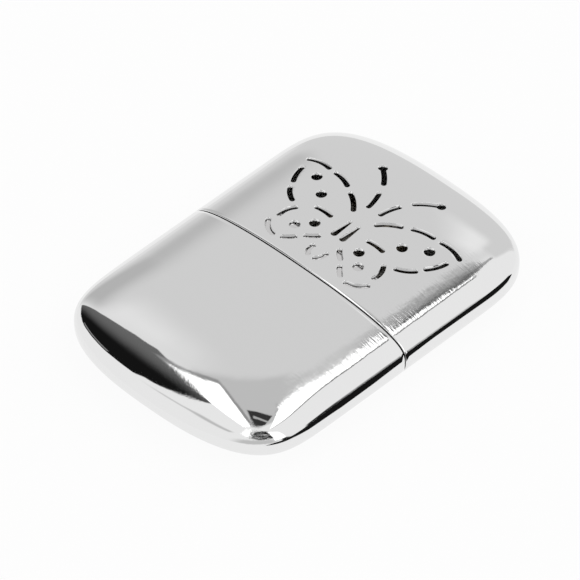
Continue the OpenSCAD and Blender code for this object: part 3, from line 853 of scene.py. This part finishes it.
# its ends are closed in strips, so that they can bend with the skin
lids = []
for base, flip in ((0, False), ((len(rows) - 1) * count, True)):
    i, j = 0, count - 1
    while j - i > 1:
        lid = [base + i, base + i + 1, base + j - 1, base + j]
        if j - i == 2:
            lid.pop(2)
        lids.append(lid[::-1] if flip else lid)
        i, j = i + 1, j - 1
punch_mesh = bpy.data.meshes.new("punch")
punch_mesh.from_pydata(corners, [], walls + lids)
carry(punch_mesh, "corner", [v for c in corners for v in c], 3)
carry(punch_mesh, "place", [f for _ in rows for f, _ in outline])
carry(punch_mesh, "flare", [out for _, out in rows for _ in outline])
punch = bpy.data.objects.new("punch", punch_mesh)

# The cap pierced: a punch in each vent, bent to the vent's line and to the cap's crown.
DROP = 100.0 * MM
pierced, given, result = plan(
    "pierced_vents", "Geometry", Marks="Geometry", Skin="Object", Blank="Object", Punch="Object",
    Finish="Material", Inside="Material")
skin = geo(pierced, "ObjectInfo", given["Skin"]).outputs["Geometry"]
blank = geo(pierced, "ObjectInfo", given["Blank"]).outputs["Geometry"]
tool = geo(pierced, "ObjectInfo", given["Punch"]).outputs["Geometry"]
stamped = geo(pierced, "InstanceOnPoints", given["Marks"], {"Instance": tool})
placed = geo(pierced, "RealizeInstances", stamped)
place, bow, first_r, last_r, flare = [
    geo(pierced, "InputNamedAttribute", label) for label in ("place", "bow", "first_r", "last_r", "flare")]
first_end, way, corner = [
    geo(pierced, "InputNamedAttribute", label, data_type="FLOAT_VECTOR")
    for label in ("first_end", "way", "corner")]
# the vent's line is a shallow arc that stands off by its bow at the middle, and the punch turns with it
level = (0.0, 0.0, 1.0)
unit = vector(pierced, "NORMALIZE", way)
left = vector(pierced, "CROSS_PRODUCT", level, unit)
still = calc(pierced, "SUBTRACT", 1.0, place)
arched = calc(pierced, "MULTIPLY", calc(pierced, "MULTIPLY", place, still), 4.0)
lifted = vector(pierced, "SCALE", left, {"Scale": calc(pierced, "MULTIPLY", arched, bow)})
middle = vector(pierced, "ADD", vector(pierced, "MULTIPLY_ADD", way, place, first_end), lifted)
lean = calc(pierced, "MULTIPLY", calc(pierced, "MULTIPLY_ADD", place, -8.0, 4.0), bow)
heading = vector(
    pierced, "NORMALIZE", vector(pierced, "ADD", way, vector(pierced, "SCALE", left, {"Scale": lean})))
beside = vector(pierced, "CROSS_PRODUCT", level, heading)
radius = calc(pierced, "ADD", ramp(pierced, place, 0.0, 1.0, first_r, last_r), flare)
turn = add(pierced, "ShaderNodeSeparateXYZ", corner)
ahead = vector(pierced, "SCALE", heading, {"Scale": calc(pierced, "MULTIPLY", turn.outputs["X"], radius)})
aside = vector(pierced, "SCALE", beside, {"Scale": calc(pierced, "MULTIPLY", turn.outputs["Y"], radius)})
flat = vector(pierced, "ADD", middle, vector(pierced, "ADD", ahead, aside))
# each corner is dropped on the cap's crown, and keeps its own depth from it
above = vector(pierced, "ADD", flat, (0.0, 0.0, DROP / 2))
hit = geo(pierced, "Raycast", skin, {
    "Source Position": above, "Ray Direction": (0.0, 0.0, -1.0), "Ray Length": DROP})
depth = xyz(pierced, 0.0, 0.0, turn.outputs["Z"])
sunk = vector(pierced, "ADD", hit.outputs["Hit Position"], depth)
shaped = geo(pierced, "SetPosition", placed, {"Position": sunk})
whole = geo(pierced, "MergeByDistance", shaped, {"Distance": 2e-6})
cut = geo(
    pierced, "MeshBoolean", blank, {"Mesh 2": geo(pierced, "Triangulate", whole)}, operation="DIFFERENCE",
    solver="MANIFOLD")
# the burred edge inside stays sharp
sharp = calc(pierced, "GREATER_THAN", geo(pierced, "InputMeshEdgeAngle"), 0.8)
smooth = geo(pierced, "SetShadeSmooth", geo(pierced, "SetShadeSmooth", cut), sharp, False, domain="EDGE")
finished(pierced, given, result, smooth)

cap_blank = case_half("cap_blank", CAP_LENGTH, CAP_WALL, CAP_RIM, 1.0, CAP_WIDTH_ROLL, CAP_DEPTH_ROLL)
# the feelers' knobs overlap their slots, so they take a second stroke
stroke = {"Skin": cap_blank, "Punch": punch, "Finish": plate, "Inside": bare}
slotted = made_by(pierced, "cap_slotted", marked_out("vents", cuts), Blank=cap_blank, **stroke)
cap = made_by(pierced, "cap_body", marked_out("knobs", knobs), Blank=slotted, **stroke)
for used_up in (cap_blank, slotted, punch):
    bpy.data.objects.remove(used_up)
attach(cap, "cap")
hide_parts("cap_shell")


# ---- Table, light and camera -----------------------------------------------
# The case lies on a white table under a soft grey ceiling of light. The table
# shows white to the camera and in the metal, and keeps the case's shadow.

# its share of glow to those rays, its size in metres, and a hair's gap under the case
GLOW, TABLE_SIZE, TABLE_TOP = 0.91, 6.0, -0.05 * MM
bpy.ops.mesh.primitive_plane_add(size=TABLE_SIZE, location=(0, 0, TABLE_TOP))
table = bpy.context.object
table.name = "table"
table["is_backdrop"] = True
board, tree = material("white_table")
paint = add(tree, "ShaderNodeBsdfDiffuse", linear("#ffffff"))
glow = add(tree, "ShaderNodeEmission", (1, 1, 1, 1), 1.0)
path = add(tree, "ShaderNodeLightPath")
seen = calc(tree, "MAXIMUM", path.outputs["Is Camera Ray"], path.outputs["Is Glossy Ray"])
seen = calc(tree, "MAXIMUM", seen, path.outputs["Is Transmission Ray"])
lit = calc(tree, "MULTIPLY", seen, GLOW)
white = add(tree, "ShaderNodeMixShader", lit, paint, glow)
add(tree, "ShaderNodeOutputMaterial", white)
table.data.materials.append(board)

# A black card lies along the case's right side, out of the camera's sight, and
# gives that flank its dark line.
CARD_Z = 0.2 * MM
CARD = [
    (60, -62), (55, -29), (45, -23), (41, -13), (41.4, -2), (43.8, 8), (47.5, 20), (46.2, 28), (43.5, 38),
    (43, 48), (52, 70), (900, 1100), (1600, 600), (1400, -500)]


def card_of(name, outline, height):
    """A level card with this outline in mm, which only shows in the metal."""
    mesh = bpy.data.meshes.new(name)
    mesh.from_pydata([(px * MM, py * MM, height) for px, py in outline], [], [tuple(range(len(outline)))])
    piece = put(name, mesh)
    piece.visible_camera = piece.visible_diffuse = piece.visible_shadow = piece.visible_transmission = False
    return piece


card = card_of("black_card", CARD, CARD_Z)
card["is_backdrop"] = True
black, tree = material("black_velvet_card")
add(tree, "ShaderNodeOutputMaterial", add(tree, "ShaderNodeEmission", linear("#181818"), 1.0))
card.data.materials.append(black)

# A grey flag hangs above the cap, and keeps the soft box off its near shoulder.
FLAG_Z = 114.0 * MM
FLAG = [
    (2, 58), (32.5, 60), (34.2, 78), (38, 83), (35, 98), (28, 113), (20, 142), (15, 140), (20, 112),
    (6, 100)]
flag = card_of("grey_flag", FLAG, FLAG_Z)
flag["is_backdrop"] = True
scrim, tree = material("grey_scrim")
spot = place_in(tree)
folds = noise(tree, spot, 120.0, 3.0, 0.6)
where = add(tree, "ShaderNodeSeparateXYZ", spot)
over = calc(tree, "MULTIPLY_ADD", folds, 44 * MM, where)
dense = calc(
    tree, "MULTIPLY", ramp(tree, over, 28 * MM, 50 * MM),
    ramp(tree, where.outputs["Y"], 88 * MM, 118 * MM, 1.0, 0.5))
shade = mixed(tree, dense, "#c8c8c8", "#6c6c6c")
add(tree, "ShaderNodeOutputMaterial", add(tree, "ShaderNodeEmission", shade, 1.0))
flag.data.materials.append(scrim)

world = bpy.data.worlds.new("soft_tent")
bpy.context.scene.world = world
world.use_nodes = True
tree = world.node_tree
tree.nodes.clear()
toward = add(tree, "ShaderNodeTexCoord").outputs["Generated"]


def direction(azimuth, elevation):
    """The direction at an azimuth from +Y towards +X and an elevation, in degrees."""
    a, e = math.radians(azimuth), math.radians(elevation)
    return Vector((math.sin(a) * math.cos(e), math.cos(a) * math.cos(e), math.sin(e)))


def panel(corners, softness):
    """How much of a panel of the tent is seen in a direction: 1 inside its corners, and 0 outside."""
    ends = [direction(*c) for c in corners]
    middle = sum(ends, Vector()).normalized()
    inside = None
    for first, last in zip(ends, ends[1:] + ends[:1]):
        edge = first.cross(last).normalized()
        edge *= math.copysign(1, edge.dot(middle))
        far = vector(tree, "DOT_PRODUCT", toward, tuple(edge)).outputs["Value"]
        near = ramp(tree, far, -softness, softness, 0.0, 1.0, interpolation_type="SMOOTHSTEP")
        inside = near if inside is None else calc(tree, "MULTIPLY", inside, near)
    return inside


colour = add(tree, "ShaderNodeRGB")
colour.outputs[0].default_value = linear("#fbfbfb")
pane = panel([(276, 9), (275, 46), (262, 68), (212, 57), (224, 36), (248, 15)], 0.11)
glass = mixed(tree, pane, "#6e6e6e", "#161616")
# the dark behind the camera has small lights in it
lights = noise(tree, toward, 13.0, 3.0)
behind = mixed(tree, ramp(tree, lights, 0.56, 0.62), "#262626", "#f0f0f0")
SOFT_BOX = (1.7, 1.7, 1.7, 1.7)
for corners, softness, shade in (
    # the tent behind the camera is greyer
    ([(104, 2), (168, 2), (166, 38), (108, 38)], 0.14, "#cdcdcd"),
    # so is the tent past the case's far end, most of all at its left, with paler patches
    ([(280, -4), (350, -4), (352, 66), (284, 66)], 0.12, "#e0e0e0"),
    ([(283, 8), (306, 19), (307, 30), (284, 38)], 0.09, "#c2c2c2"),
    ([(280, 42), (296, 42), (298, 57), (284, 58)], 0.08, "#f4f4f4"),
    ([(296, -12), (305, -12), (304, 8), (297, 9)], 0.06, "#f0f0f0"),
    ([(331, 32), (344, 34), (344, 48), (331, 48)], 0.08, "#fafafa"),
    ([(286, 59), (312, 61), (342, 56), (358, 57), (10, 75), (180, 86), (280, 72)], 0.03, "#cccccc"),
    # three soft boxes: one over the cap, in a grey frame, and one at each side of the camera
    ([(354, 56), (13, 56), (85, 80), (333, 69.5)], 0.005, "#7c7c7c"),
    ([(355, 57), (11, 57), (87, 80.5), (335, 69)], 0.005, SOFT_BOX),
    ([(178, 64), (202, 79), (178, 79), (157, 54)], 0.01, SOFT_BOX),
    ([(110, 77), (87, 64), (89, 20), (107, 20)], 0.01, SOFT_BOX),
    # the dark gap where the camera stands, and another overhead with a pale bar in it
    ([(178, 79), (106, 79), (107, 43), (135, 42), (157, 54)], 0.02, behind),
    ([(293, 73), (308, 75), (340, 78), (359, 87), (241, 85)], 0.008, "#383838"),
    ([(296, 77), (292, 78.5), (346, 84), (344, 82.5)], 0.006, "#b4b4b4"),
    # the dark window at the left, greyer towards the cap and with a bright bar along its head
    ([(278.5, 11), (283, 57), (264, 67), (236, 49), (243, 43), (259, 27)], 0.004, glass),
    ([(260.5, 29), (262, 30.5), (246, 46), (244.5, 44.5)], 0.004, "#8c8c8c"),
    ([(278.5, 57.5), (293, 62), (224, 85.5), (217, 79), (264.5, 66.5)], 0.008, "#9a9a9a"),
    ([(278, 59), (265, 66.2), (218, 78), (222, 83), (291, 63)], 0.006, SOFT_BOX),
    # creases in the tent at the near end, and past the cap's right corner
    ([(230, 48), (232, 51), (226.5, 58.5), (224, 56)], 0.02, "#d6d6d6"),
    ([(227, 60), (190, 62), (190, 57), (227, 54.5)], 0.035, "#cacaca"),
    ([(343, 4), (357, 4), (357, 42), (343, 42)], 0.035, "#e0e0e0"),
    # two black cards stand at the right, behind the one that lies there
    ([(57, -12), (67, -12), (66, 11), (59, 11)], 0.03, "#2c2c2c"),
    ([(78, -12), (94, -12), (96, 15), (88, 15)], 0.04, "#2c2c2c"),
):
    colour = mixed(tree, panel(corners, softness), colour, shade)
tent = add(tree, "ShaderNodeBackground", colour, 1.0)
white = add(tree, "ShaderNodeBackground", (1, 1, 1, 1), 1.0)
path = add(tree, "ShaderNodeLightPath")
around = add(tree, "ShaderNodeMixShader", path.outputs["Is Camera Ray"], tent, white)
add(tree, "ShaderNodeOutputWorld", around)

# A long lens, as the camera that was fitted to the photograph has.
AZIMUTH, ELEVATION, DISTANCE = 44.378, 44.070, 1805.738 * MM
SHIFT_X, SHIFT_Y = -1.811 * MM, 0.249 * MM
FOCAL, SENSOR, FARTHEST = 499.97, 36.0, 20.0
lens = bpy.data.cameras.new("camera")
lens.lens, lens.sensor_width, lens.clip_end = FOCAL, SENSOR, FARTHEST
camera = put("camera", lens)
tilted = Matrix.Rotation(math.radians(90 - ELEVATION), 3, "X")
turned = Matrix.Rotation(math.radians(AZIMUTH), 3, "Z") @ tilted
camera.rotation_euler = turned.to_euler()
camera.location = turned @ Vector((SHIFT_X, SHIFT_Y, DISTANCE)) + Vector((0, SEAM_Y, MID_HEIGHT))
bpy.context.scene.camera = camera
bpy.context.scene.view_settings.view_transform = "Standard"

corners = [list(c) for c in cad_box], [list(c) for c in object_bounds()]
